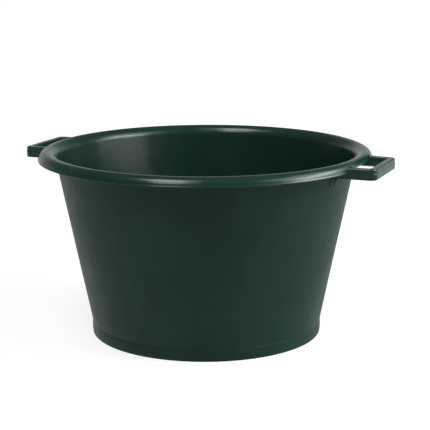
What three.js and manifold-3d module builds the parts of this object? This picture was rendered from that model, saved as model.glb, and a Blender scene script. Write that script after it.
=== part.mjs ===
// Round mortar mixing tub: a tapered bucket with a rolled rim, two loop handles and a foot ring.
// Millimetres, +Z up. The origin is the centre of the base and the handles point along +X and -X.

import * as THREE from "three";
import { mergeVertices } from "three/addons/utils/BufferGeometryUtils.js";
import Module from "manifold-3d";

const wasm = await Module();
wasm.setup();

// Driving dimensions of the bucket.
const RIM_DIAMETER = 630;
const HEIGHT = 350;
const WALL = 3;
const WALL_LEAN = Math.atan(0.2035);
const ROLL_RADIUS = 18.5;
const SKIRT_DROP = 16;
const FLOOR_RAISE = 3;
const FLOOR_THICKNESS = 4;
const FLOOR_CORNER_RADIUS = 15;

// Driving dimensions of the foot ring, whose outer face is a low bulging band under a fine groove.
const FOOT_RADIUS = 217.4;
const FOOT_BULGE_RADIUS = 218.3;
const FOOT_BULGE_Z = 11;
const FOOT_BAND_TOP_RADIUS = 218;
const FOOT_GROOVE_RADIUS = 217.4;
const FOOT_GROOVE_Z = 23;
const FOOT_GROOVE_WIDTH = 3;
const FOOT_RING_TOP_Z = 26;
const FOOT_EDGE_ROUNDING = 1.2;
const FOOT_SKIRT_THICKNESS = 3.2;

// Driving dimensions of the handles and of the finger recess in the rim behind each one.
const HANDLE_WIDTH = 142;
const HANDLE_REACH = 349.5;
const HANDLE_HEIGHT = 20.5;
const HANDLE_DROP = 7.5;
const BAR_THICKNESS = 13.5;
const HANDLE_CORNER_RADIUS = 12.5;
const HOLE_CORNER_RADIUS = 4;
const BAR_EDGE_ROUNDING = 2.2;
const PARTING_RIDGE_HEIGHT = 1.4;
const PARTING_RIDGE_PROUD = 0.5;
const FINGER_FACE = 300;

// Driving dimensions of the gussets under the handle arms.
const GUSSET_THICKNESS = 2.6;
const GUSSET_SPACING = 14;
const GUSSET_HEIGHT = 16;
const GUSSET_REACH = 11;
const GUSSET_TOE = 1;

// Clearance between neighbouring pieces, and the smoothness of round shapes.
const GAP = 0.3;
const TURN_SEGMENTS = 80;
const ROLL_ARC_STEPS = 12;
const CORNER_ARC_STEPS = 6;
const EDGE_ARC_STEPS = 3;
const GUSSET_ARC_STEPS = 6;

// Dimensions that follow from those above.
const LEAN = Math.tan(WALL_LEAN);
const WALL_ACROSS = WALL / Math.cos(WALL_LEAN);
const ROLL_CENTRE_RADIUS = RIM_DIAMETER / 2 - ROLL_RADIUS;
const ROLL_CENTRE_Z = HEIGHT - ROLL_RADIUS;
const SKIRT_EDGE_Z = HEIGHT - SKIRT_DROP;
const INNER_RADIUS_AT_BASE = ROLL_CENTRE_RADIUS - ROLL_RADIUS / Math.cos(WALL_LEAN) - LEAN * ROLL_CENTRE_Z;
const FLOOR_TOP_Z = FLOOR_RAISE + FLOOR_THICKNESS;
const HANDLE_TOP_Z = HEIGHT - HANDLE_DROP;
const HANDLE_BOTTOM_Z = HANDLE_TOP_Z - HANDLE_HEIGHT;
const HOLE_WIDTH = HANDLE_WIDTH - 2 * BAR_THICKNESS;
const RIGHT_ANGLE = Math.PI / 2;

function innerRadius(z) {
  return INNER_RADIUS_AT_BASE + LEAN * z;
}

function outerRadius(z) {
  return innerRadius(z) + WALL_ACROSS;
}

function arc(centreX, centreY, radius, from, to, steps) {
  const points = [];
  for (let step = 0; step <= steps; step += 1) {
    const angle = from + ((to - from) * step) / steps;
    points.push([centreX + radius * Math.cos(angle), centreY + radius * Math.sin(angle)]);
  }
  return points;
}

// An anticlockwise [radius, height] outline turned about the Z axis. It closes on itself, unless
// its first and last points lie on the axis.
function turned(outline, closes = true) {
  const points = closes ? [...outline, outline[0]] : outline;
  const profile = points.map(([radius, z]) => new THREE.Vector2(radius, z));
  return new THREE.LatheGeometry(profile, TURN_SEGMENTS).rotateX(RIGHT_ANGLE);
}

function toSolid(geometry) {
  const bare = geometry.clone();
  bare.deleteAttribute("normal");
  bare.deleteAttribute("uv");
  const merged = mergeVertices(bare);
  const mesh = new wasm.Mesh({
    numProp: 3,
    vertProperties: new Float32Array(merged.attributes.position.array),
    triVerts: new Uint32Array(merged.index.array),
  });
  return new wasm.Manifold(mesh);
}

function toGeometry(solid) {
  const mesh = solid.getMesh();
  const geometry = new THREE.BufferGeometry();
  geometry.setAttribute("position", new THREE.BufferAttribute(mesh.vertProperties, 3));
  geometry.setIndex(new THREE.BufferAttribute(mesh.triVerts, 1));
  return geometry;
}

function block(low, high) {
  const size = high.map((value, axis) => value - low[axis]);
  const middle = high.map((value, axis) => (value + low[axis]) / 2);
  return toSolid(new THREE.BoxGeometry(...size).translate(...middle));
}

// The bucket below the rim: wall, floor and foot ring.

function wallGeometry() {
  const bottom = FOOT_RING_TOP_Z + GAP;
  const top = SKIRT_EDGE_Z - GAP;
  return turned([
    [outerRadius(bottom), bottom],
    [outerRadius(top), top],
    [innerRadius(top), top],
    [innerRadius(bottom), bottom],
  ]);
}

// Centre, in [radius, height], of the cove that turns the flat floor up into the wall.
function coveCentre() {
  const z = FLOOR_TOP_Z + FLOOR_CORNER_RADIUS;
  return [innerRadius(z) - FLOOR_CORNER_RADIUS / Math.cos(WALL_LEAN), z];
}

function floorGeometry() {
  const edge = coveCentre()[0] - GAP;
  return turned([[0, FLOOR_RAISE], [edge, FLOOR_RAISE], [edge, FLOOR_TOP_Z], [0, FLOOR_TOP_Z]], false);
}

// One Y-shaped section: a stub of the wall, a cove to the floor and a foot skirt outside it.
function footRingGeometry() {
  const [coveRadius, coveZ] = coveCentre();
  const top = FOOT_RING_TOP_Z;
  const skirtInside = FOOT_RADIUS - FOOT_SKIRT_THICKNESS;
  const shell = FLOOR_CORNER_RADIUS + FLOOR_THICKNESS;
  const skirtAngle = -Math.acos((skirtInside - coveRadius) / shell);
  const rounding = FOOT_EDGE_ROUNDING;
  const grooveBottom = FOOT_GROOVE_Z - FOOT_GROOVE_WIDTH / 2;
  const grooveTop = FOOT_GROOVE_Z + FOOT_GROOVE_WIDTH / 2;
  return turned([
    ...arc(FOOT_RADIUS - rounding, rounding, rounding, -RIGHT_ANGLE, 0, EDGE_ARC_STEPS),
    [FOOT_BULGE_RADIUS, FOOT_BULGE_Z],
    [FOOT_BAND_TOP_RADIUS, grooveBottom],
    [FOOT_GROOVE_RADIUS, FOOT_GROOVE_Z],
    [outerRadius(grooveTop), grooveTop],
    [outerRadius(top), top],
    [innerRadius(top), top],
    ...arc(coveRadius, coveZ, FLOOR_CORNER_RADIUS, -WALL_LEAN, -RIGHT_ANGLE, CORNER_ARC_STEPS),
    ...arc(coveRadius, coveZ, shell, -RIGHT_ANGLE, skirtAngle, CORNER_ARC_STEPS),
    [skirtInside, 0],
  ]);
}

// The rolled rim: a half-round tube, open below, with a flat finger face behind each handle. Its
// inner half is the shoulder that grows out of the wall, and its outer half is the skirt.

function rollArc(radius) {
  const edgeAngle = Math.asin((SKIRT_EDGE_Z - ROLL_CENTRE_Z) / radius);
  return arc(ROLL_CENTRE_RADIUS, ROLL_CENTRE_Z, radius, edgeAngle, Math.PI - WALL_LEAN, ROLL_ARC_STEPS);
}

function recessBlock(side, margin) {
  const near = side * (FINGER_FACE - margin);
  const far = side * HANDLE_REACH;
  const halfWidth = HOLE_WIDTH / 2 + margin;
  const low = [Math.min(near, far), -halfWidth, 0];
  const high = [Math.max(near, far), halfWidth, 2 * HEIGHT];
  return block(low, high);
}

// The rim as a solid whose every face stands proud by grow.
function rimSolid(grow) {
  const baseZ = SKIRT_EDGE_Z - grow;
  const channelZ = baseZ - ROLL_RADIUS;
  const tubeRadius = ROLL_RADIUS + grow;
  const channelRadius = ROLL_RADIUS - WALL - grow;
  const outline = rollArc(tubeRadius);
  outline[0][1] = baseZ;
  const innerFoot = [innerRadius(baseZ) - grow, baseZ];
  const channel = rollArc(channelRadius);
  const channelOutside = [ROLL_CENTRE_RADIUS + channelRadius, channelZ];
  const channelInside = [outerRadius(channelZ) + grow, channelZ];
  let filled = toSolid(turned([...outline, innerFoot]));
  let hollow = toSolid(turned([channelOutside, ...channel, channelInside]));
  for (const side of [-1, 1]) {
    filled = filled.subtract(recessBlock(side, -grow));
    hollow = hollow.subtract(recessBlock(side, WALL + grow));
  }
  return filled.subtract(hollow);
}

// Parts the rim under its crest: the shoulder lies inside this cylinder and the skirt outside it.
function crestCylinder(grow) {
  const radius = ROLL_CENTRE_RADIUS + grow;
  const top = 2 * HEIGHT;
  return toSolid(turned([[0, 0], [radius, 0], [radius, top], [0, top]], false));
}

// Everything inside the wall's outer face, with clearance: what handles and gussets stop at.
function wallClearance() {
  const top = 2 * HEIGHT;
  const core = INNER_RADIUS_AT_BASE / 2;
  return toSolid(turned([
    [core, 0],
    [outerRadius(0) + GAP, 0],
    [outerRadius(top) + GAP, top],
    [core, top],
  ]));
}

// The handles: a flat rectangular loop whose arms pass under the rim's skirt to the wall.

function loopShape(proud) {
  const start = ROLL_CENTRE_RADIUS - 2 * ROLL_RADIUS;
  const reach = HANDLE_REACH + proud;
  const half = HANDLE_WIDTH / 2 + proud;
  const holeReach = HANDLE_REACH - BAR_THICKNESS - proud;
  const holeHalf = HOLE_WIDTH / 2 - proud;
  const corner = HANDLE_CORNER_RADIUS;
  const holeCorner = HOLE_CORNER_RADIUS;
  const outline = [
    [start, -half],
    ...arc(reach - corner, corner - half, corner, -RIGHT_ANGLE, 0, CORNER_ARC_STEPS),
    ...arc(reach - corner, half - corner, corner, 0, RIGHT_ANGLE, CORNER_ARC_STEPS),
    [start, half],
    [start, holeHalf],
    ...arc(holeReach - holeCorner, holeHalf - holeCorner, holeCorner, RIGHT_ANGLE, 0, CORNER_ARC_STEPS),
    ...arc(holeReach - holeCorner, holeCorner - holeHalf, holeCorner, 0, -RIGHT_ANGLE, CORNER_ARC_STEPS),
    [start, -holeHalf],
  ];
  return new THREE.Shape(outline.map(([x, y]) => new THREE.Vector2(x, y)));
}

function loopSolid() {
  const rounding = BAR_EDGE_ROUNDING;
  const bar = new THREE.ExtrudeGeometry(loopShape(-rounding), {
    depth: HANDLE_HEIGHT - 2 * rounding,
    bevelThickness: rounding,
    bevelSize: rounding,
    bevelSegments: EDGE_ARC_STEPS,
  }).translate(0, 0, HANDLE_BOTTOM_Z + rounding);
  const ridge = new THREE.ExtrudeGeometry(loopShape(PARTING_RIDGE_PROUD), {
    depth: PARTING_RIDGE_HEIGHT,
    bevelEnabled: false,
  }).translate(0, 0, HANDLE_BOTTOM_Z + (HANDLE_HEIGHT - PARTING_RIDGE_HEIGHT) / 2);
  return toSolid(bar).add(toSolid(ridge));
}

// The gussets: thin webs with a hollow-curved free edge, under both faces of each handle arm.

function gussetSolid(centreY) {
  const top = HANDLE_BOTTOM_Z - GAP;
  const toeZ = top - GUSSET_HEIGHT;
  const wallX = Math.sqrt(outerRadius(toeZ) ** 2 - centreY ** 2);
  const tipX = wallX + GUSSET_REACH;
  const toeX = wallX + GUSSET_TOE;
  const freeEdge = [];
  for (let step = 0; step <= GUSSET_ARC_STEPS; step += 1) {
    const angle = (RIGHT_ANGLE * step) / GUSSET_ARC_STEPS;
    freeEdge.push([tipX - (tipX - toeX) * Math.sin(angle), toeZ + GUSSET_HEIGHT * Math.cos(angle)]);
  }
  const buriedX = wallX - GUSSET_REACH;
  const outline = [[buriedX, toeZ], [buriedX, top], ...freeEdge];
  const shape = new THREE.Shape(outline.map(([x, z]) => new THREE.Vector2(x, z)));
  const web = new THREE.ExtrudeGeometry(shape, { depth: GUSSET_THICKNESS, bevelEnabled: false })
    .rotateX(RIGHT_ANGLE)
    .translate(0, centreY + GUSSET_THICKNESS / 2, 0);
  return toSolid(web);
}

// Assembly.

const MOULDING_GREEN = "#16382c";

const glossyPlastic = new THREE.MeshStandardMaterial({ color: MOULDING_GREEN, roughness: 0.3, metalness: 0 });
const satinPlastic = new THREE.MeshStandardMaterial({ color: MOULDING_GREEN, roughness: 0.5, metalness: 0 });

const tub = new THREE.Group();

function addPiece(name, geometry, material) {
  const piece = new THREE.Mesh(geometry, material);
  piece.name = name;
  tub.add(piece);
  return piece;
}

addPiece("tub_wall", wallGeometry(), satinPlastic);
addPiece("tub_floor", floorGeometry(), satinPlastic);
addPiece("foot_ring", footRingGeometry(), satinPlastic);

const rim = rimSolid(0);
addPiece("rim_shoulder", toGeometry(rim.intersect(crestCylinder(-GAP / 2))), glossyPlastic);
addPiece("rim_skirt", toGeometry(rim.subtract(crestCylinder(GAP / 2))), glossyPlastic);

const insideWall = wallClearance();
const aroundRim = rimSolid(GAP);
const handle = toGeometry(loopSolid().subtract(aroundRim).subtract(insideWall));
const armCentre = (HANDLE_WIDTH - BAR_THICKNESS) / 2;
const outerGussetY = armCentre + GUSSET_SPACING / 2;
const innerGussetY = armCentre - GUSSET_SPACING / 2;
const gussetPlaces = {
  front_outer: -outerGussetY,
  front_inner: -innerGussetY,
  rear_inner: innerGussetY,
  rear_outer: outerGussetY,
};

for (const [sideName, turn] of [["right", 0], ["left", Math.PI]]) {
  const side = new THREE.Group();
  side.rotation.z = turn;
  tub.add(side);
  side.add(addPiece(`handle_${sideName}`, handle, glossyPlastic));
  for (const [place, centreY] of Object.entries(gussetPlaces)) {
    const web = toGeometry(gussetSolid(turn === 0 ? centreY : -centreY).subtract(insideWall));
    side.add(addPiece(`gusset_${sideName}_${place}`, web, glossyPlastic));
  }
}

export default tub;
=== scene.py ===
"""Round mortar mixing tub in dark green moulded plastic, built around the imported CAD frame.

Metres, +Z up, origin at the centre of the base, handles along +X and -X. The real tub is one
moulding, so neighbouring pieces here meet on exactly the same surface.
"""

import math

import bmesh
import bpy
from mathutils import Matrix, Vector


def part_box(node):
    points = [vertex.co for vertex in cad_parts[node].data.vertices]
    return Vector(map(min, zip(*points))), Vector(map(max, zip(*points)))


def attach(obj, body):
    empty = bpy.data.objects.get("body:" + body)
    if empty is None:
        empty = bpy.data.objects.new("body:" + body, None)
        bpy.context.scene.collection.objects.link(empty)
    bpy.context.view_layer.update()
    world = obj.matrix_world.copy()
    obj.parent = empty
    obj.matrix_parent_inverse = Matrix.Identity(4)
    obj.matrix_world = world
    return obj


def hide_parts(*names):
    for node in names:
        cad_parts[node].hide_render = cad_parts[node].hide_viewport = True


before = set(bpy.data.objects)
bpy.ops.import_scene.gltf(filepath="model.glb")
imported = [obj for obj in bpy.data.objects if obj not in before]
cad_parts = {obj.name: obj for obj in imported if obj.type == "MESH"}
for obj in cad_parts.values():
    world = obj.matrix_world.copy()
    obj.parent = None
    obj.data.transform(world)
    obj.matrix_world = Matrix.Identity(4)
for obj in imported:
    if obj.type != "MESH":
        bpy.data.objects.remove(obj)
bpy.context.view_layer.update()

MM = 0.001
RIGHT_ANGLE = math.pi / 2

# Driving dimensions, read from the CAD boxes.
FLOOR_LOW, FLOOR_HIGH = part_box("tub_floor")
HANDLE_LOW, HANDLE_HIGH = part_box("handle_right")
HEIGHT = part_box("rim_shoulder")[1].z
RIM_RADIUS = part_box("rim_skirt")[1].y

# Section of the bucket. LEAN is the radius gained per height. The body is BODY_WALL thick, a little
# more than the rim's WALL.
LEAN = 0.2035
WALL = 3 * MM
BODY_WALL = 3.2 * MM
WALL_ACROSS = BODY_WALL * math.hypot(1, LEAN)
LEAN_ANGLE = math.atan(LEAN)
ROLL_RADIUS = 18.5 * MM
ROLL_INSIDE = ROLL_RADIUS - WALL
ROLL_CENTRE = RIM_RADIUS - ROLL_RADIUS
ROLL_Z = HEIGHT - ROLL_RADIUS
SKIRT_Z = HEIGHT - 16 * MM
SKIRT_ROUNDING = 2.0 * MM
FOOT_TOP_Z = 26 * MM
INNER_AT_BASE = ROLL_CENTRE - ROLL_RADIUS * math.hypot(1, LEAN) - LEAN * ROLL_Z
FLOOR_CORNER = 15 * MM

# The finger recess behind each handle.
FINGER_FACE = 300 * MM
FINGER_EDGE = 2.0 * MM
RECESS_HALF = 57.5 * MM
CHEEK_EDGE = 1.1 * MM

# The handles.
ARM_HALF = 71 * MM
RIDGE = 0.5 * MM
HANDLE_REACH = HANDLE_HIGH.x - RIDGE
BAR = ARM_HALF - RECESS_HALF
HANDLE_BOTTOM = HANDLE_LOW.z
HANDLE_TOP = HANDLE_HIGH.z
HANDLE_CORNER = 12.5 * MM
HOLE_CORNER = 4 * MM


def smoothstep(value, low=0.0, high=1.0):
    t = min(1.0, max(0.0, (value - low) / (high - low)))
    return t * t * (3 - 2 * t)


def mix(a, b, t):
    return a + (b - a) * t


def inner_radius(z):
    return INNER_AT_BASE + LEAN * z


def outer_radius(z):
    return inner_radius(z) + WALL_ACROSS


def steps(count):
    return [i / count for i in range(count + 1)]


# Mesh helpers. Edges sharper than these angles, in degrees, are shaded as edges.

MERGE_DISTANCE = 2e-6
SHARP = 38.0
SHARP_ON_RIM = 42.0
SHARP_ON_HANDLES = 50.0


def finish_piece(name, bm, nodes, materials, sharp=SHARP):
    bmesh.ops.remove_doubles(bm, verts=bm.verts, dist=MERGE_DISTANCE)
    bmesh.ops.dissolve_degenerate(bm, dist=MERGE_DISTANCE, edges=bm.edges)
    bmesh.ops.recalc_face_normals(bm, faces=bm.faces)
    mesh = bpy.data.meshes.new(name)
    bm.to_mesh(mesh)
    bm.free()
    for polygon in mesh.polygons:
        polygon.use_smooth = True
    mesh.set_sharp_from_angle(angle=math.radians(sharp))
    for material in materials:
        mesh.materials.append(material)
    piece = bpy.data.objects.new(name, mesh)
    bpy.context.scene.collection.objects.link(piece)
    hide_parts(*nodes)
    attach(piece, "root")
    return piece


def ring_grid(bm, columns, closed_columns=True, closed_rows=True):
    """Quads over columns of points; each column has the same number of points."""
    rows = [[bm.verts.new(p) for p in column] for column in columns]
    count = len(rows)
    size = len(rows[0])
    for i in range(count if closed_columns else count - 1):
        here, there = rows[i], rows[(i + 1) % count]
        for j in range(size if closed_rows else size - 1):
            k = (j + 1) % size
            bm.faces.new((here[j], there[j], there[k], here[k]))
    return rows


# Columns round the tub. Close to a handle they run parallel to X, elsewhere radially. A column is
# anchored on the wall's inside at the skirt's height. The lists are distances from XZ in mm, closer
# together at the recess's edge and at the shrink marks.

PARALLEL_BELOW = math.radians(15)
RADIAL_ABOVE = math.radians(36)
ANCHOR_RADIUS = inner_radius(SKIRT_Z)
RECESS_COLUMNS = [0, 7, 14, 21, 28, 35, 41, 46, 50, 53, 55.2, 56.6]
ARM_COLUMNS = [62, 63.5, 65, 67, 69, 70.2, 71.2, 72.2, 73.2, 74.2, 75.2, 76.4, 78.5]
CHEEK_STEPS = 4
OPEN_COLUMNS = 40
OPEN_SPREAD = 0.28


def quadrant_columns():
    """(anchor angle, kind, inset) from the X axis to the Y axis, both ends included.

    Kind is "cut" over the finger recess, "cheek" over its rounded side and "full" beyond it. The
    inset is how far that rounding draws the roll's flank in.
    """

    def column(y, kind, inset=0.0):
        return math.asin(y / ANCHOR_RADIUS), kind, inset

    columns = [column(y * MM, "cut") for y in RECESS_COLUMNS]
    columns.append(column(RECESS_HALF, "cut"))
    for step in range(CHEEK_STEPS + 1):
        a = RIGHT_ANGLE * step / CHEEK_STEPS
        y = RECESS_HALF + CHEEK_EDGE * (1 - math.cos(a))
        columns.append(column(y, "cheek", CHEEK_EDGE * (1 - math.sin(a))))
    columns.append(column(RECESS_HALF + WALL, "cheek"))
    columns.append(column(RECESS_HALF + WALL, "full"))
    columns += [column(y * MM, "full") for y in ARM_COLUMNS]
    start = columns[-1][0]
    for t in steps(OPEN_COLUMNS)[1:]:
        spread = t * (1 - OPEN_SPREAD + OPEN_SPREAD * t)
        columns.append((mix(start, RIGHT_ANGLE, spread), "full", 0.0))
    return columns


def all_columns():
    """(anchor angle, kind, inset, sign of x, sign of y) all the way round."""
    quadrant = quadrant_columns()
    around = []
    for sx, sy in [(1, 1), (-1, 1), (-1, -1), (1, -1)]:
        part = quadrant if sx == sy else quadrant[::-1]
        around += [(*entry, sx, sy) for entry in part[:-1]]
    return around


COLUMNS = all_columns()


def turned_angle(angle, sx, sy):
    """A column's angle from +X all the way round."""
    return math.atan2(sy * math.sin(angle), sx * math.cos(angle))


def column_point(angle, sx, sy, radius, z):
    """The point of a column at this distance from the Z axis."""
    blend = smoothstep(angle, PARALLEL_BELOW, RADIAL_ABOVE)
    heading = angle * blend
    ax, ay = ANCHOR_RADIUS * math.cos(angle), ANCHOR_RADIUS * math.sin(angle)
    dx, dy = math.cos(heading), math.sin(heading)
    along = ax * dx + ay * dy
    s = -along + math.sqrt(along * along + radius * radius - ANCHOR_RADIUS**2)
    return (sx * (ax + s * dx), sy * (ay + s * dy), z)


# The bucket's surfaces are never perfectly even: slow waves, the same on every piece. Each row
# holds the waves round the tub, their phase, the radians per metre of height, their phase, and
# the size in mm.

WAVES = [
    (3, 0.9, 21.0, 0.3, 0.10),
    (7, 2.1, 34.0, 1.7, 0.07),
    (13, 4.0, -52.0, 0.9, 0.05),
    (22, 0.4, 71.0, 2.6, 0.035),
    (31, 5.2, -88.0, 4.1, 0.022),
]


def wave(angle, z):
    total = 0.0
    for around, phase, up, shift, size in WAVES:
        total += size * math.sin(around * angle + phase) * math.cos(up * z + shift)
    return total * MM


def turned_columns(outline, waves=None):
    """A (radius, z) outline turned about Z: one column of points for each shared column."""
    columns = []
    for angle, _, _, sx, sy in COLUMNS:
        turn = turned_angle(angle, sx, sy)
        column = []
        for radius, z in outline:
            r = radius + (waves(turn, z) if waves else 0.0)
            column.append((r * math.cos(turn), r * math.sin(turn), z))
        columns.append(column)
    return columns


INSIDE_NORMAL_Z = 0.6


def turned_piece(name, outline, nodes, materials, waves=None):
    """A closed outline turned about Z, with the second material on the bucket's inside."""
    bm = bmesh.new()
    ring_grid(bm, turned_columns(outline, waves))
    piece = finish_piece(name, bm, nodes, materials)
    for polygon in piece.data.polygons:
        centre, normal = polygon.center, polygon.normal
        inside = centre.x * normal.x + centre.y * normal.y < 0 or normal.z > INSIDE_NORMAL_Z
        polygon.material_index = 1 if inside else 0
    return piece


def arc(cr, cz, radius, start, end, count):
    """Points on an arc round (cr, cz) in the (radius, z) plane, both ends included."""
    angles = [mix(start, end, t) for t in steps(count)]
    return [(cr + radius * math.cos(a), cz + radius * math.sin(a)) for a in angles]


# Pieces of the bucket.

WAVE_ROOM = 30 * MM
WALL_ROWS = 34


def wall_wave(turn, z):
    """The wave of the wall, which fades out before it meets the foot and the rim."""
    room = smoothstep(z, FOOT_TOP_Z, FOOT_TOP_Z + WAVE_ROOM)
    room *= 1 - smoothstep(z, SKIRT_Z - WAVE_ROOM, SKIRT_Z)
    return wave(turn, z) * room


def make_wall(materials):
    outline = []
    for t in steps(WALL_ROWS):
        z = mix(FOOT_TOP_Z, SKIRT_Z, t)
        outline.append((outer_radius(z), z))
    for t in steps(WALL_ROWS):
        z = mix(SKIRT_Z, FOOT_TOP_Z, t)
        outline.append((inner_radius(z), z))
    return turned_piece("tub_wall_shell", outline, ["tub_wall"], materials, wall_wave)


def cove_centre():
    """(radius, z) of the centre of the rounding between the floor and the wall's inside."""
    z = FLOOR_HIGH.z + FLOOR_CORNER
    return inner_radius(z) - FLOOR_CORNER * math.hypot(1, LEAN), z


# The foot's outside: (radius, z) in mm, a low bulging band with a fine groove above it.
FOOT_BAND = [
    (217.42, 1.2),
    (217.62, 3.0),
    (217.95, 6.0),
    (218.18, 9.0),
    (218.24, 12.0),
    (218.2, 15.0),
    (218.1, 18.0),
    (218.0, 20.3),
    (217.9, 21.2),
    (217.62, 22.0),
    (217.42, 22.6),
    (217.4, 23.1),
    (217.52, 23.7),
]
ABOVE_FOOT_BAND = (24.4, 24.9, 26.0)
FOOT_PROUD = 0.5 * MM
FOOT_ROUNDING = 1.2 * MM
FOOT_ROUNDING_STEPS = 5
FOOT_SKIRT_INSIDE = (217.4 - 3.2) * MM
FOOT_SKIRT_TOP = 5 * MM
FOOT_CHAMFER = 0.6 * MM
COVE_STEPS = 12


def make_foot(materials):
    cove_r, cove_z = cove_centre()
    shell = FLOOR_CORNER + FLOOR_HIGH.z - FLOOR_LOW.z
    skirt_angle = -math.acos((FOOT_SKIRT_INSIDE - cove_r) / shell)
    edge = FOOT_BAND[0][0] * MM + FOOT_PROUD - FOOT_ROUNDING
    rounded = arc(edge, FOOT_ROUNDING, FOOT_ROUNDING, -RIGHT_ANGLE, 0, FOOT_ROUNDING_STEPS)
    outline = rounded[:-1]
    outline += [(r * MM + FOOT_PROUD, z * MM) for r, z in FOOT_BAND]
    outline += [(outer_radius(z * MM), z * MM) for z in ABOVE_FOOT_BAND]
    outline += [(inner_radius(FOOT_TOP_Z), FOOT_TOP_Z)]
    outline += arc(cove_r, cove_z, FLOOR_CORNER, -LEAN_ANGLE, -RIGHT_ANGLE, COVE_STEPS)
    outline += arc(cove_r, cove_z, shell, -RIGHT_ANGLE, skirt_angle, COVE_STEPS)
    outline += [(FOOT_SKIRT_INSIDE, FOOT_SKIRT_TOP), (FOOT_SKIRT_INSIDE, FOOT_CHAMFER)]
    outline += [(FOOT_SKIRT_INSIDE + FOOT_CHAMFER, 0)]
    return turned_piece("foot_band", outline, ["foot_ring"], materials)


# The floor disc sags a little between its edge and its middle. Below, a round dish in the middle
# holds the boss of the moulding gate. Each range is the radii between which a step fades.
FLOOR_RADII = [2.5, 4, 5.5, 7, 8.2, 9, 9.8, 11, 14, 20, 30, 45, 60, 75, 90, 105, 120, 135]
FLOOR_OUTER_FROM = 150 * MM
FLOOR_OUTER_STEPS = 5
FLOOR_SAG_ABOVE = 0.5 * MM
FLOOR_SAG_BELOW = 0.4 * MM
FLOOR_SAG_ROOM = 120 * MM
BOSS_DEPTH = 0.7 * MM
BOSS_RANGE = (3 * MM, 4.5 * MM)
DISH_DEPTH = 0.9 * MM
DISH_RANGE = (8 * MM, 10 * MM)
FLOOR_TOP_NORMAL_Z = 0.3


def make_floor(materials):
    edge = cove_centre()[0]
    radii = [r * MM for r in FLOOR_RADII]
    radii += [mix(FLOOR_OUTER_FROM, edge, t) for t in steps(FLOOR_OUTER_STEPS)]

    def top_z(r):
        return FLOOR_HIGH.z - FLOOR_SAG_ABOVE * smoothstep(edge - r, 0, FLOOR_SAG_ROOM)

    def low_z(r):
        boss = BOSS_DEPTH * (1 - smoothstep(r, *BOSS_RANGE))
        dish = DISH_DEPTH * (1 - smoothstep(r, *DISH_RANGE))
        sag = FLOOR_SAG_BELOW * smoothstep(edge - r, 0, FLOOR_SAG_ROOM)
        return FLOOR_LOW.z + dish - boss - sag

    bm = bmesh.new()
    upper = turned_columns([(r, top_z(r)) for r in radii[::-1]])
    lower = turned_columns([(r, low_z(r)) for r in radii])
    upper_rows = ring_grid(bm, upper, closed_rows=False)
    lower_rows = ring_grid(bm, lower, closed_rows=False)
    bm.faces.new([row[-1] for row in upper_rows])
    bm.faces.new([row[0] for row in lower_rows[::-1]])
    for i, (above, below) in enumerate(zip(upper_rows, lower_rows)):
        j = (i + 1) % len(upper_rows)
        bm.faces.new((below[-1], lower_rows[j][-1], upper_rows[j][0], above[0]))
    piece = finish_piece("floor_disc", bm, ["tub_floor"], materials)
    for polygon in piece.data.polygons:
        polygon.material_index = 1 if polygon.normal.z > FLOOR_TOP_NORMAL_Z else 0
    return piece


# The rolled rim. Angles round the roll, phi, start on its outside and pass over the crest.

ROLL_START = math.radians(17.5)
ROLL_END = math.pi - LEAN_ANGLE
PLATE_STEPS = 9
EDGE_STEPS = 6
ARCH_STEPS = 22
SKIRT_EDGE_STEPS = 6
UNDER_STEPS = 12
RIM_CHAMFER = 0.5 * MM
INSET_ROOM = 3 * MM

# A fine bead runs along the lower edge, with a shallow hollow above it.
BEAD_RADIUS = 1.1 * MM
BEAD_TOP = math.radians(48)
HOLLOW_DEPTH = 0.1 * MM
HOLLOW_END = math.radians(36)


def hollow(phi):
    return HOLLOW_DEPTH * (1 - smoothstep(phi, ROLL_START, HOLLOW_END))


# Beside the handles the roll's flank is pulled in towards the finger pads.
PULL_AT_ARM = 5.4 * MM
ARM_BEARING = math.radians(13)
PULL_FADE = math.radians(8)
PULL_FADE_PAD = math.radians(7)
PULL_NONE = (math.radians(36), math.radians(50))
FLANK = (math.radians(10), math.radians(64))


def pull_in(bearing, phi):
    """How far the roll's flank stands back, at this bearing from X and angle round the roll."""
    fade = PULL_FADE if bearing > ARM_BEARING else PULL_FADE_PAD
    size = PULL_AT_ARM * math.exp((ARM_BEARING - bearing) / fade)
    return size * (1 - smoothstep(bearing, *PULL_NONE)) * (1 - smoothstep(phi, *FLANK))


def finger_edge(y):
    """The rounding between the finger face and the roll, at this distance from XZ.

    Returns the height of its centre and the angle round the roll where it ends.
    """
    radius = math.hypot(FINGER_FACE - FINGER_EDGE, y)
    rise = math.sqrt((ROLL_RADIUS - FINGER_EDGE) ** 2 - (radius - ROLL_CENTRE) ** 2)
    return ROLL_Z + rise, math.atan2(rise, radius - ROLL_CENTRE)


FULL_SPLIT = finger_edge(RECESS_HALF)[1]

# Shrink marks: two shallow grooves over the inner shoulder, opposite the gussets of each arm.
SINK_CENTRES = (60.2 * MM, 74.0 * MM)
SINK_WIDTH = 1.7 * MM
SINK_DEPTH = 0.42 * MM
SINK_REAR_SHARE = 0.2
SINK_BELOW = math.radians(22)
SINK_START = (math.radians(96), math.radians(112))


def sink(y, phi):
    depth = 0.0
    for centre in SINK_CENTRES:
        depth += math.exp(-(((y - centre) / SINK_WIDTH) ** 2))
    return SINK_DEPTH * depth * smoothstep(phi, *SINK_START)


# The waves of the crest, as a share of the wall's. They only ever lower it, so that it stays
# within the height. Each range is the angles, in radians, between which they fade in or out.
SWAY = 0.25
SWAY_ROOM = SWAY * sum(row[-1] for row in WAVES) * MM
SWAY_IN = (1.2, 1.7)
SWAY_OUT = (2.5, 2.9)


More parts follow.
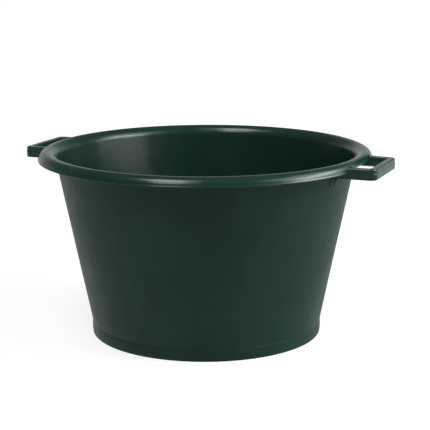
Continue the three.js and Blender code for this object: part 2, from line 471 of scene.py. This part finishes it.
def rim_section(angle, kind, inset, sx, sy):
    """The closed section of the rim in one column, from its free edge over the crest and back."""
    y = ANCHOR_RADIUS * math.sin(angle)

    def place(radius, z):
        return column_point(angle, sx, sy, radius, z)

    def at_face(x, z):
        return (sx * x, sy * y, z)

    points = []
    sink_share = (1.0 if sy < 0 else SINK_REAR_SHARE) * (angle < SINK_BELOW)
    sway = wave(turned_angle(angle, sx, sy), ROLL_Z) * SWAY - SWAY_ROOM
    edge_x, edge_y, _ = column_point(angle, 1, 1, ROLL_CENTRE + ROLL_RADIUS, SKIRT_Z)
    bearing = math.atan2(edge_y, edge_x)

    def roll_point(phi, shrink=0.0):
        rho = ROLL_RADIUS - shrink - sink(y, phi) * sink_share
        rho += sway * smoothstep(phi, *SWAY_IN) * (1 - smoothstep(phi, *SWAY_OUT))
        radius = ROLL_CENTRE + rho * math.cos(phi)
        if kind != "cut":
            radius -= pull_in(bearing, phi)
        return radius, ROLL_Z + rho * math.sin(phi)

    under_cut = kind in ("cut", "cheek")
    # the free edge: its inner corner, its flat underside, then its rounding or its bead
    inside_x = FINGER_FACE - WALL
    skirt_in = ROLL_CENTRE + math.sqrt(ROLL_INSIDE**2 - (SKIRT_Z - ROLL_Z) ** 2)
    skirt_in -= pull_in(bearing, 0.0)
    skirt_out = RIM_RADIUS - BEAD_RADIUS - pull_in(bearing, ROLL_START)
    corner_z = SKIRT_Z + RIM_CHAMFER
    if under_cut:
        points += [at_face(inside_x, corner_z), at_face(inside_x + RIM_CHAMFER, SKIRT_Z)]
    else:
        points += [place(skirt_in, corner_z), place(skirt_in + RIM_CHAMFER, SKIRT_Z)]
    for t in steps(SKIRT_EDGE_STEPS):
        if kind == "cut":
            a = mix(-RIGHT_ANGLE, 0.0, t)
            x = FINGER_FACE - SKIRT_ROUNDING * (1 - math.cos(a))
            points.append(at_face(x, SKIRT_Z + SKIRT_ROUNDING * (1 + math.sin(a))))
        else:
            a = mix(-RIGHT_ANGLE, BEAD_TOP, t)
            radius = skirt_out + BEAD_RADIUS * math.cos(a) - inset
            points.append(place(radius, SKIRT_Z + BEAD_RADIUS * (1 + math.sin(a))))
    # outer skin up to the split
    if kind == "cut":
        centre_z, split = finger_edge(y)
        for t in steps(PLATE_STEPS)[1:]:
            z = mix(SKIRT_Z + SKIRT_ROUNDING, centre_z, t)
            points.append(at_face(FINGER_FACE, z))
        for t in steps(EDGE_STEPS)[1:]:
            a = mix(0, split, t)
            x = FINGER_FACE - FINGER_EDGE + FINGER_EDGE * math.cos(a)
            points.append(at_face(x, centre_z + FINGER_EDGE * math.sin(a)))
    else:
        split = FULL_SPLIT
        for t in steps(PLATE_STEPS + EDGE_STEPS)[1:]:
            phi = mix(ROLL_START, split, t)
            radius, z = roll_point(phi, hollow(phi))
            x = math.sqrt(max(radius**2 - y**2, 0.0))
            depth = smoothstep(x - FINGER_FACE, 0, INSET_ROOM)
            radius, z = roll_point(phi, hollow(phi) + inset * depth)
            points.append(place(radius, z))
    for t in steps(ARCH_STEPS)[1:]:
        radius, z = roll_point(mix(split, ROLL_END, t))
        points.append(place(radius, z))
    # down to the wall's inside, across its top, then back under the roll
    points.append(place(inner_radius(SKIRT_Z), SKIRT_Z))
    points.append(place(outer_radius(SKIRT_Z), SKIRT_Z))
    if under_cut:
        radius_in = math.hypot(inside_x, y)
        stop = math.acos(min(1.0, (radius_in - ROLL_CENTRE) / ROLL_INSIDE))
    else:
        stop = FULL_SPLIT

    def under_point(phi):
        radius = ROLL_CENTRE + ROLL_INSIDE * math.cos(phi)
        if not under_cut:
            radius -= pull_in(bearing, phi)
        return place(radius, ROLL_Z + ROLL_INSIDE * math.sin(phi))

    for t in steps(UNDER_STEPS):
        points.append(under_point(mix(ROLL_END, stop, t)))
    for t in steps(PLATE_STEPS)[1:-1]:
        if under_cut:
            high = ROLL_Z + ROLL_INSIDE * math.sin(stop)
            points.append(at_face(inside_x, mix(high, corner_z, t)))
        else:
            phi = mix(stop, math.asin((corner_z - ROLL_Z) / ROLL_INSIDE), t)
            points.append(under_point(phi))
    return points


def make_rim(materials):
    bm = bmesh.new()
    ring_grid(bm, [rim_section(*column) for column in COLUMNS])
    nodes = ["rim_shoulder", "rim_skirt"]
    return finish_piece("rolled_rim", bm, nodes, materials, SHARP_ON_RIM)


# The handles. A profile is how far a side stands back and how high it is, in mm, from its lower
# edge to its upper edge. The outer side's negative part is the parting ridge.

ARM_PROFILE = [
    (2.2, 0.0),
    (1.36, 0.17),
    (0.64, 0.64),
    (0.17, 1.36),
    (0.05, 2.3),
    (0.0, 5.5),
    (-0.02, 8.2),
    (-0.12, 9.0),
    (-0.36, 9.45),
    (-0.48, 9.8),
    (-0.5, 10.25),
    (-0.44, 10.7),
    (-0.26, 11.15),
    (-0.02, 11.7),
    (0.14, 12.4),
    (0.22, 13.4),
    (0.31, 17.1),
    (0.42, 18.0),
    (0.70, 18.9),
    (1.25, 19.72),
    (2.10, 20.28),
    (3.2, 20.5),
]
# The hole's side has a crisper top edge and starts higher, so that the underside slopes.
HOLE_PROFILE = [
    (1.6, 2.85),
    (0.9, 3.02),
    (0.4, 3.4),
    (0.1, 3.95),
    (0.0, 4.7),
    (0.0, 5.5),
    *ARM_PROFILE[6:16],
    (0.34, 17.9),
    (0.42, 18.6),
    (0.62, 19.3),
    (1.08, 19.98),
    (1.75, 20.37),
    (2.55, 20.5),
]
ACROSS = (0.15, 0.5, 0.85)

# Fillets where an arm meets the wall and the skirt.
WALL_FLARE = 3.0 * MM
WALL_FLARE_SHARE = 0.6
SKIRT_FLARE = 3.2 * MM
SKIRT_FLARE_ROOM = SKIRT_ROUNDING + 1.5 * MM
LEAST_FLARE = 0.01 * MM
HOLE_SIDE_HIDDEN = 0.25 * MM
HOLE_SIDE_RANGE = (-0.9 * MM, -0.1 * MM)
REAR_ROOT_LIFT = 0.8 * MM
REAR_LIFT_FROM = 8 * MM


def fillet(distance, radius):
    """How far a surface has moved out at this distance from the face that it flows into."""
    if distance >= radius:
        return 0.0
    d = max(distance, 0.0)
    return radius - math.sqrt(radius**2 - (radius - d) ** 2)


def wall_x(z, y):
    return math.sqrt(outer_radius(z) ** 2 - y**2)


def skirt_x(z, y):
    """X of the skirt's outside at this height and distance from XZ, beside a handle."""
    level = max(z, SKIRT_Z + SKIRT_ROUNDING)
    phi = math.asin((level - ROLL_Z) / ROLL_RADIUS)
    radius = ROLL_CENTRE + ROLL_RADIUS * math.cos(phi)
    radius -= pull_in(math.asin(y / radius), phi)
    return math.sqrt(radius**2 - y**2)


# Stations along a handle: distances from the wall and from the skirt in mm, the counts of those
# between and beyond them, and the counts round the corner and along the bar.
ARM_NEAR_WALL = [-1.3, -0.2, 0.3, 0.9, 1.8, 3.0, 5.0]
ARM_NEAR_SKIRT = [-2.5, -0.8, -0.25, 0.0, 0.25, 0.6, 1.1, 1.7, 2.4, 3.3, 4.5]
ARM_MIDDLE = 3
ARM_FAR = 5
ARM_STATIONS = len(ARM_NEAR_WALL) + ARM_MIDDLE + len(ARM_NEAR_SKIRT) + ARM_FAR
CORNER_STEPS = 9
BAR_STATIONS = 10


def arm_x(station, z, y, corner_x):
    """X of an arm's station: it follows the wall first, then the skirt, then the corner."""
    near = len(ARM_NEAR_WALL)
    from_wall = wall_x(z, y)
    from_skirt = skirt_x(z, y)
    if station < near:
        return from_wall + ARM_NEAR_WALL[station] * MM
    start, end = from_wall + ARM_NEAR_WALL[-1] * MM, from_skirt + ARM_NEAR_SKIRT[0] * MM
    if station < near + ARM_MIDDLE:
        return mix(start, end, (station - near + 1) / (ARM_MIDDLE + 1))
    index = station - near - ARM_MIDDLE
    if index < len(ARM_NEAR_SKIRT):
        return from_skirt + ARM_NEAR_SKIRT[index] * MM
    index -= len(ARM_NEAR_SKIRT)
    start = from_skirt + ARM_NEAR_SKIRT[-1] * MM
    return mix(start, corner_x, (index + 1) / ARM_FAR)


def outer_side_point(station, inset, z):
    """A point of the handle's outside in the quadrant X > 0, Y > 0."""
    corner_x, corner_y = HANDLE_REACH - HANDLE_CORNER, ARM_HALF - HANDLE_CORNER
    if station < ARM_STATIONS:
        x = arm_x(station, z, ARM_HALF, corner_x)
        flare = WALL_FLARE_SHARE * fillet(x - wall_x(z, ARM_HALF), WALL_FLARE)
        if z > SKIRT_Z:
            grown = SKIRT_FLARE * smoothstep(z, SKIRT_Z, SKIRT_Z + SKIRT_FLARE_ROOM)
            flare = fillet(x - skirt_x(z, ARM_HALF), max(grown, LEAST_FLARE))
        return x, ARM_HALF - inset + flare, z
    index = station - ARM_STATIONS
    if index <= CORNER_STEPS:
        a = RIGHT_ANGLE * (1 - index / CORNER_STEPS)
        r = HANDLE_CORNER - inset
        return corner_x + r * math.cos(a), corner_y + r * math.sin(a), z
    t = (index - CORNER_STEPS) / BAR_STATIONS
    return HANDLE_REACH - inset, corner_y * (1 - t), z


def inner_side_point(station, inset, z):
    """A point of the handle's hole side in the same quadrant and station."""
    corner_x = HANDLE_REACH - BAR - HOLE_CORNER
    corner_y = RECESS_HALF - HOLE_CORNER
    if station < ARM_STATIONS:
        x = arm_x(station, z, RECESS_HALF, corner_x)
        clear = smoothstep(x - skirt_x(z, RECESS_HALF), *HOLE_SIDE_RANGE)
        shift = HOLE_SIDE_HIDDEN * (1 - clear)
        if z < SKIRT_Z:
            shift = -WALL_FLARE_SHARE * fillet(x - wall_x(z, RECESS_HALF), WALL_FLARE)
        return x, RECESS_HALF + inset + shift, z
    index = station - ARM_STATIONS
    if index <= CORNER_STEPS:
        a = RIGHT_ANGLE * (1 - index / CORNER_STEPS)
        r = HOLE_CORNER + inset
        return corner_x + r * math.cos(a), corner_y + r * math.sin(a), z
    t = (index - CORNER_STEPS) / BAR_STATIONS
    return HANDLE_REACH - BAR + inset, corner_y * (1 - t), z


def handle_ring(station):
    """One section ring: up the outside, across the top, down the hole side, back below."""

    def side_points(side_point, profile):
        return [side_point(station, inset * MM, HANDLE_BOTTOM + up * MM) for inset, up in profile]

    def between(start, end):
        return [tuple(Vector(start).lerp(Vector(end), t)) for t in ACROSS]

    outer = side_points(outer_side_point, ARM_PROFILE)
    inner = side_points(inner_side_point, HOLE_PROFILE[::-1])
    return outer + between(outer[-1], inner[0]) + inner + between(inner[-1], outer[0])


def rear_arm_z(x, z):
    """The rear arms stand a little higher at the rim than at the grip."""
    along = 1 - smoothstep(x, FINGER_FACE, HANDLE_REACH - HANDLE_CORNER)
    high = smoothstep(z, HANDLE_BOTTOM + REAR_LIFT_FROM, HANDLE_TOP)
    return z + REAR_ROOT_LIFT * along * high


def make_handle(side_name, side, materials):
    """Station rings from the rear arm's root round the grip to the front arm's root."""
    count = ARM_STATIONS + CORNER_STEPS + BAR_STATIONS + 1
    half = [handle_ring(station) for station in range(count)]
    rings = [[(side * x, y, rear_arm_z(x, z)) for x, y, z in ring] for ring in half]
    rings += [[(side * x, -y, z) for x, y, z in ring] for ring in half[-2::-1]]
    bm = bmesh.new()
    rows = ring_grid(bm, rings, closed_columns=False)
    bm.faces.new(rows[0])
    bm.faces.new(rows[-1][::-1])
    name, nodes = f"handle_loop_{side_name}", [f"handle_{side_name}"]
    return finish_piece(name, bm, nodes, materials, SHARP_ON_HANDLES)


# The gussets under the arms. Each starts inside the wall and ends inside its arm.

GUSSET_THICKNESS = 3.0 * MM
GUSSET_TAPER = 0.15 * MM
GUSSET_HEIGHT = 16 * MM
GUSSET_REACH = 12.5 * MM
GUSSET_STRAIGHTNESS = 0.45
GUSSET_TOE = 1 * MM
GUSSET_ROOT_FLARE = 1.3 * MM
GUSSET_SINK = 0.6 * MM
GUSSET_WALL_SINK = 0.8 * MM
GUSSET_GAP = 0.3 * MM
GUSSET_LEVELS = 14
GUSSET_ALONG = [0, 0.09, 0.12, 0.16, 0.22, 0.35, 0.6, 0.85, 1.0]
GUSSET_NOSE_STEPS = 6


def make_gusset(node, materials):
    low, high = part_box(node)
    side = 1 if low[0] > 0 else -1
    centre = (low[1] + high[1]) / 2
    top = HANDLE_BOTTOM + GUSSET_SINK
    toe = HANDLE_BOTTOM - GUSSET_GAP - GUSSET_HEIGHT
    root = wall_x(toe, centre)
    columns = []
    for t in steps(GUSSET_LEVELS):
        a = RIGHT_ANGLE * t
        fall = mix(math.sin(a), 1 - math.cos(a), GUSSET_STRAIGHTNESS)
        edge_x = root + GUSSET_REACH - (GUSSET_REACH - GUSSET_TOE) * fall
        edge_z = mix(toe, top, math.cos(a))
        half = mix(GUSSET_THICKNESS / 2, GUSSET_THICKNESS / 2 - GUSSET_TAPER, math.cos(a))
        from_x = wall_x(edge_z, centre) - GUSSET_WALL_SINK
        top_flare = fillet(HANDLE_BOTTOM - edge_z, GUSSET_ROOT_FLARE)
        side_points = []
        for s in GUSSET_ALONG:
            x = mix(from_x, edge_x - half, s)
            flare = fillet(x - from_x - GUSSET_WALL_SINK, GUSSET_ROOT_FLARE)
            side_points.append((x, half + max(flare, top_flare)))
        nose = []
        for k in range(1, GUSSET_NOSE_STEPS):
            b = RIGHT_ANGLE - math.pi * k / GUSSET_NOSE_STEPS
            nose.append((edge_x - half + half * math.cos(b), (half + top_flare) * math.sin(b)))
        loop = side_points + nose + [(x, -w) for x, w in side_points[::-1]]
        columns.append([(side * x, centre + w, edge_z) for x, w in loop])
    bm = bmesh.new()
    rows = ring_grid(bm, columns, closed_columns=False)
    bm.faces.new(rows[0])
    bm.faces.new(rows[-1][::-1])
    name = f"{node}_web"
    return finish_piece(name, bm, [node], materials, SHARP_ON_HANDLES)


# Materials: moulded polyethylene, satin outside, glossier inside and on the rim. The greens of the
# outside and the inside are darker than the rim's: that is painted shade, as the tub is one
# plastic.


MIX_SLOTS = {"Factor": 0, "A": 6, "B": 7, "Result": 2}


class Nodes:
    """A short way to write a node tree."""

    def __init__(self, tree):
        self.tree = tree
        tree.nodes.clear()

    def put(self, value, socket):
        """Links a socket, or sets a constant on the socket itself."""
        if isinstance(value, bpy.types.NodeSocket):
            self.tree.links.new(value, socket)
        else:
            socket.default_value = value

    def add(self, kind, inputs=None, **settings):
        node = self.tree.nodes.new(kind)
        for key, value in settings.items():
            setattr(node, key, value)
        for key, value in (inputs or {}).items():
            self.put(value, node.inputs[key])
        return node

    def finish(self, kind, shader):
        output = self.add(kind)
        self.tree.links.new(shader.outputs[0], output.inputs[0])

    def noise(self, vector, scale, detail=3.0, roughness=0.5, distortion=0.0):
        inputs = {"Vector": vector, "Scale": scale, "Detail": detail}
        inputs |= {"Roughness": roughness, "Distortion": distortion}
        return self.add("ShaderNodeTexNoise", inputs).outputs["Fac"]

    def stretch(self, vector, scale):
        return self.add("ShaderNodeMapping", {"Vector": vector, "Scale": scale}).outputs[0]

    def range(self, value, low, high, to_low=0.0, to_high=1.0, kind="SMOOTHSTEP"):
        inputs = {"Value": value, "From Min": low, "From Max": high}
        inputs |= {"To Min": to_low, "To Max": to_high}
        node = self.add("ShaderNodeMapRange", inputs, interpolation_type=kind)
        return node.outputs["Result"]

    def maths(self, operation, a, b):
        node = self.add("ShaderNodeMath", {0: a, 1: b}, operation=operation)
        return node.outputs[0]

    def blend(self, factor, a, b):
        node = self.add("ShaderNodeMix", data_type="RGBA")
        for slot, value in (("Factor", factor), ("A", a), ("B", b)):
            self.put(value, node.inputs[MIX_SLOTS[slot]])
        return node.outputs[MIX_SLOTS["Result"]]

    def bump(self, height, strength, distance, below=None):
        inputs = {"Height": height, "Strength": strength, "Distance": distance}
        if below is not None:
            inputs["Normal"] = below
        return self.add("ShaderNodeBump", inputs).outputs["Normal"]


def rgba(colour, factor=1.0):
    return (colour[0] * factor, colour[1] * factor, colour[2] * factor, 1.0)


SCUFF = (0.055, 0.095, 0.085)
PIGMENT_RANGE = (0.88, 1.12)
SCUFF_STRENGTH = {"rub": 0.35, "least": 0.15, "roughness": 0.25, "bump": 0.2, "depth": 0.1}
GRAIN_STRENGTH = 0.25
FINE_SHARE = 0.35
IOR = 1.5


def moulded_plastic(name, green, rough, specular, ripple, grain_depth, scuffs, wear_zone):
    """Roughness runs over the pair rough, and depths are in mm.

    Scuffs is their share, which grows from the first to the second height of wear_zone, in metres.
    """
    material = bpy.data.materials.new(name)
    material.use_nodes = True
    n = Nodes(material.node_tree)
    place = n.add("ShaderNodeTexCoord").outputs["Object"]

    # colour: pigment that has not mixed quite evenly, and pale scuffs
    cloudy = n.noise(place, scale=7.0, detail=3.0, roughness=0.55)
    streaks = n.stretch(place, (6.0, 6.0, 1.4))
    streaky = n.noise(streaks, scale=3.0, detail=4.0, roughness=0.6)
    pigment = n.range(n.maths("ADD", cloudy, streaky), 0.75, 1.25)
    colour = n.blend(pigment, *(rgba(green, factor) for factor in PIGMENT_RANGE))
    specks = n.noise(place, scale=620.0, detail=2.0)
    patches = n.noise(place, scale=16.0, detail=2.0)
    scuff = n.maths("MULTIPLY", n.range(specks, 0.67, 0.74), n.range(patches, 0.50, 0.66))
    scratches = n.stretch(place, (24.0, 24.0, 210.0))
    lines = n.noise(scratches, scale=4.0, detail=3.0, distortion=1.2)
    rub = n.maths("MULTIPLY", n.range(lines, 0.64, 0.72), n.range(patches, 0.45, 0.62))
    worn = n.maths("MAXIMUM", scuff, n.maths("MULTIPLY", rub, SCUFF_STRENGTH["rub"]))
    height = n.add("ShaderNodeSeparateXYZ", {"Vector": place}).outputs["Z"]
    zone = n.range(height, *wear_zone, SCUFF_STRENGTH["least"], 1.0)
    worn = n.maths("MULTIPLY", n.maths("MULTIPLY", worn, zone), scuffs)
    colour = n.blend(worn, colour, rgba(SCUFF))

    # roughness: cloudy mould texture, duller where it is scuffed
    mottle = n.noise(place, scale=23.0, detail=4.0, roughness=0.6)
    fine = n.noise(place, scale=260.0, detail=2.0)
    dull = n.range(n.maths("ADD", mottle, n.maths("MULTIPLY", fine, FINE_SHARE)), 0.4, 0.95)
    roughness = n.range(dull, 0.0, 1.0, *rough, "LINEAR")
    duller = n.maths("MULTIPLY", worn, SCUFF_STRENGTH["roughness"])
    roughness = n.maths("ADD", roughness, duller)

    # bump: slow ripples of a cooled moulding, then its fine grain
    slow = n.noise(place, scale=17.0, detail=2.0)
    normal = n.bump(slow, 1.0, ripple * MM)
    grain = n.noise(place, scale=900.0, detail=2.0)
    normal = n.bump(grain, GRAIN_STRENGTH, grain_depth * MM, normal)
    normal = n.bump(worn, SCUFF_STRENGTH["bump"], SCUFF_STRENGTH["depth"] * MM, normal)

    inputs = {"Base Color": colour, "Roughness": roughness, "Normal": normal}
    inputs |= {"IOR": IOR, "Specular IOR Level": specular}
    n.finish("ShaderNodeOutputMaterial", n.add("ShaderNodeBsdfPrincipled", inputs))
    return material


rim_plastic = moulded_plastic(
    "rim_gloss_plastic",
    green=(0.0068, 0.0400, 0.0255),
    rough=(0.19, 0.28),
    specular=0.5,
    ripple=0.07,
    grain_depth=0.012,
    scuffs=0.8,
    wear_zone=(0.30, 0.345),
)
# The outside's green is darker than the rim's: painted shade on the wall under the rim.
wall_plastic_painted_shade = moulded_plastic(
    "outer_satin_plastic_painted_shade",
    green=(0.0042, 0.0310, 0.0200),
    rough=(0.42, 0.52),
    specular=0.34,
    ripple=0.2,
    grain_depth=0.05,
    scuffs=0.25,
    wear_zone=(0.05, 0.0),
)
# The inside's green is darker than the rim's: painted shade inside the tub.
inside_plastic_painted_shade = moulded_plastic(
    "inner_gloss_plastic_painted_shade",
    green=(0.0050, 0.0300, 0.0186),
    rough=(0.22, 0.32),
    specular=0.27,
    ripple=0.6,
    grain_depth=0.03,
    scuffs=0.4,
    wear_zone=(0.30, 0.05),
)

# The body's two greens carry painted shade.
body_plastics_painted_shade = [wall_plastic_painted_shade, inside_plastic_painted_shade]
make_wall(body_plastics_painted_shade)
make_foot(body_plastics_painted_shade)
make_floor(body_plastics_painted_shade)
make_rim([rim_plastic])
for side_name, side in (("right", 1), ("left", -1)):
    make_handle(side_name, side, [rim_plastic])
    for which in ("front_outer", "front_inner", "rear_inner", "rear_outer"):
        make_gusset(f"gusset_{side_name}_{which}", [rim_plastic])


# Stage: camera, floor and light. Azimuths start at the camera's side of the tub and are positive
# to the camera's right, and elevations start at the floor. HANDLE_BEARING is how far the right
# handle is turned from the camera, in the same sense.

HANDLE_BEARING = math.radians(67.49)
CAMERA_DISTANCE = 2.50778
CAMERA_HEIGHT = 0.76406
FOCAL_PIXELS = 1349.74
FRAME_PIXELS = 430
SENSOR = 36.0
PITCH, YAW, ROLL = 0.21346, 0.00678, -0.00263


def from_camera_side(right, towards, up):
    """A vector given as metres to the camera's right, towards it and up."""
    s, c = math.sin(HANDLE_BEARING), math.cos(HANDLE_BEARING)
    return Vector((right * s + towards * c, right * c - towards * s, up))


def direction(azimuth, elevation):
    a, e = math.radians(azimuth), math.radians(elevation)
    return from_camera_side(math.sin(a) * math.cos(e), math.cos(a) * math.cos(e), math.sin(e))


def make_camera():
    data = bpy.data.cameras.new("camera")
    data.sensor_width = SENSOR
    data.lens = FOCAL_PIXELS / FRAME_PIXELS * SENSOR
    camera = bpy.data.objects.new("camera", data)
    bpy.context.scene.collection.objects.link(camera)
    forward = from_camera_side(
        math.sin(YAW) * math.cos(PITCH), -math.cos(YAW) * math.cos(PITCH), -math.sin(PITCH)
    )
    right = from_camera_side(math.cos(YAW), math.sin(YAW), 0)
    up = right.cross(forward)
    turned_right = math.cos(ROLL) * right + math.sin(ROLL) * up
    turned_up = -math.sin(ROLL) * right + math.cos(ROLL) * up
    matrix = Matrix((turned_right, turned_up, -forward)).transposed().to_4x4()
    matrix.translation = from_camera_side(0, CAMERA_DISTANCE, CAMERA_HEIGHT)
    camera.matrix_world = matrix
    bpy.context.scene.camera = camera


# The studio floor glows, so that it comes out white: less so in front of the tub, more so far
# behind it. The ranges are metres towards the camera's side.
FLOOR_REACH = 40.0
FLOOR_TONES = ((0.49, 0.49, 0.49, 1), (0.51, 0.51, 0.51, 1))
WHITE = (1, 1, 1, 1)
FRONT_GLOW = (0.74, 0.36)
FRONT_GLOW_RANGE = (0.45, 1.2)
BACK_GLOW = (0.28, 0.0)
BACK_GLOW_RANGE = (-2.6, -0.6)


def make_floor_plane():
    mesh = bpy.data.meshes.new("studio_floor")
    signs = [(-1, -1), (1, -1), (1, 1), (-1, 1)]
    corners = [(sx * FLOOR_REACH, sy * FLOOR_REACH, 0) for sx, sy in signs]
    mesh.from_pydata(corners, [], [(0, 1, 2, 3)])
    material = bpy.data.materials.new("studio_floor_paint")
    material.use_nodes = True
    n = Nodes(material.node_tree)
    place = n.add("ShaderNodeTexCoord").outputs["Object"]
    tone = n.blend(n.noise(place, scale=3.0), *FLOOR_TONES)
    paint = n.add("ShaderNodeBsdfDiffuse", {"Color": tone})
    towards = tuple(direction(0, 0))
    along = n.add("ShaderNodeVectorMath", {0: place, 1: towards}, operation="DOT_PRODUCT")
    level = n.range(along.outputs["Value"], *FRONT_GLOW_RANGE, *FRONT_GLOW)
    back = n.range(along.outputs["Value"], *BACK_GLOW_RANGE, *BACK_GLOW)
    level = n.maths("ADD", level, back)
    glow = n.add("ShaderNodeEmission", {"Color": WHITE, "Strength": level})
    shader = n.add("ShaderNodeAddShader", {0: paint.outputs[0], 1: glow.outputs[0]})
    n.finish("ShaderNodeOutputMaterial", shader)
    mesh.materials.append(material)
    floor = bpy.data.objects.new("studio_floor", mesh)
    bpy.context.scene.collection.objects.link(floor)
    floor.visible_glossy = False


def softbox(name, place, target, width, height, radiance):
    """A rectangular light, in metres, that faces its target."""
    data = bpy.data.lights.new(name, "AREA")
    data.shape = "RECTANGLE"
    data.size, data.size_y = width, height
    data.energy = radiance * math.pi * width * height
    light = bpy.data.objects.new(name, data)
    bpy.context.scene.collection.objects.link(light)
    light.location = place
    light.rotation_mode = "QUATERNION"
    light.rotation_quaternion = (place - target).to_track_quat("Z", "Y")
    light.visible_camera = False


# Radiance of the room by azimuth (front is the camera's side) in three bands of height, and the
# range of heights, as shares of a direction's length, over which the low band becomes the top one.
ROOM = {
    "below": {"front": 0.19, "left": 0.44, "right": 0.34, "back": 0.80},
    "low": {"front": 0.20, "left": 0.12, "right": 0.22, "back": 0.65},
    "top": 0.10,
}
AZIMUTHS = {"front": 0, "right": 90, "back": 180, "left": -90}
TOP_RANGE = (0.10, 0.45)
AZIMUTH_FALLOFF = 2.0


def make_world(room):
    world = bpy.data.worlds.new("studio")
    bpy.context.scene.world = world
    world.use_nodes = True
    n = Nodes(world.node_tree)
    heading = n.add("ShaderNodeTexCoord").outputs["Generated"]
    height = n.add("ShaderNodeSeparateXYZ", {0: heading}).outputs["Z"]
    flat = n.add("ShaderNodeVectorMath", {0: heading, 1: (1, 1, 0)}, operation="MULTIPLY")
    flat = n.add("ShaderNodeVectorMath", {0: flat.outputs[0]}, operation="NORMALIZE").outputs[0]
    below = low = None
    for name, azimuth in AZIMUTHS.items():
        towards = tuple(direction(azimuth, 0))
        dot = n.add("ShaderNodeVectorMath", {0: flat, 1: towards}, operation="DOT_PRODUCT")
        share = n.maths("MAXIMUM", dot.outputs["Value"], 0.0)
        share = n.maths("POWER", share, AZIMUTH_FALLOFF)
        part_below = n.maths("MULTIPLY", share, room["below"][name])
        part_low = n.maths("MULTIPLY", share, room["low"][name])
        below = part_below if below is None else n.maths("ADD", below, part_below)
        low = part_low if low is None else n.maths("ADD", low, part_low)
    top_share = n.range(height, *TOP_RANGE)
    above = n.maths("MULTIPLY", low, n.maths("SUBTRACT", 1.0, top_share))
    above = n.maths("ADD", above, n.maths("MULTIPLY", top_share, room["top"]))
    is_above = n.maths("GREATER_THAN", height, 0.0)
    level = n.add("ShaderNodeMix", {0: is_above, 2: below, 3: above}, data_type="FLOAT")
    shader = n.add("ShaderNodeBackground", {"Color": WHITE, "Strength": level.outputs[0]})
    n.finish("ShaderNodeOutputWorld", shader)


make_camera()
make_floor_plane()
make_world(ROOM)

# Two softboxes aim at the tub's middle. A third, low on the right, has a larger and dimmer one
# just behind it.
TUB_MIDDLE = Vector((0, 0, 0.3))
OVERHEAD_PLACE = TUB_MIDDLE + direction(-53, 70) * 3.6
FRONT_PLACE = TUB_MIDDLE + direction(-30, 50) * 3.4
RIGHT_PLACE = from_camera_side(1.24, 0.25, 1.0)
RIGHT_TARGET = from_camera_side(0.0, 0.1, 0.35)
SURROUND_PLACE = RIGHT_PLACE + (RIGHT_PLACE - RIGHT_TARGET).normalized() * 0.12
softbox("overhead_softbox", OVERHEAD_PLACE, TUB_MIDDLE, width=1.1, height=1.1, radiance=9.5)
softbox("front_softbox", FRONT_PLACE, TUB_MIDDLE, width=1.0, height=1.2, radiance=6.0)
softbox("right_softbox", RIGHT_PLACE, RIGHT_TARGET, width=0.85, height=0.5, radiance=6.4)
softbox("right_surround", SURROUND_PLACE, RIGHT_TARGET, width=1.4, height=1.6, radiance=2.2)

scene = bpy.context.scene
scene.view_settings.view_transform = "Standard"
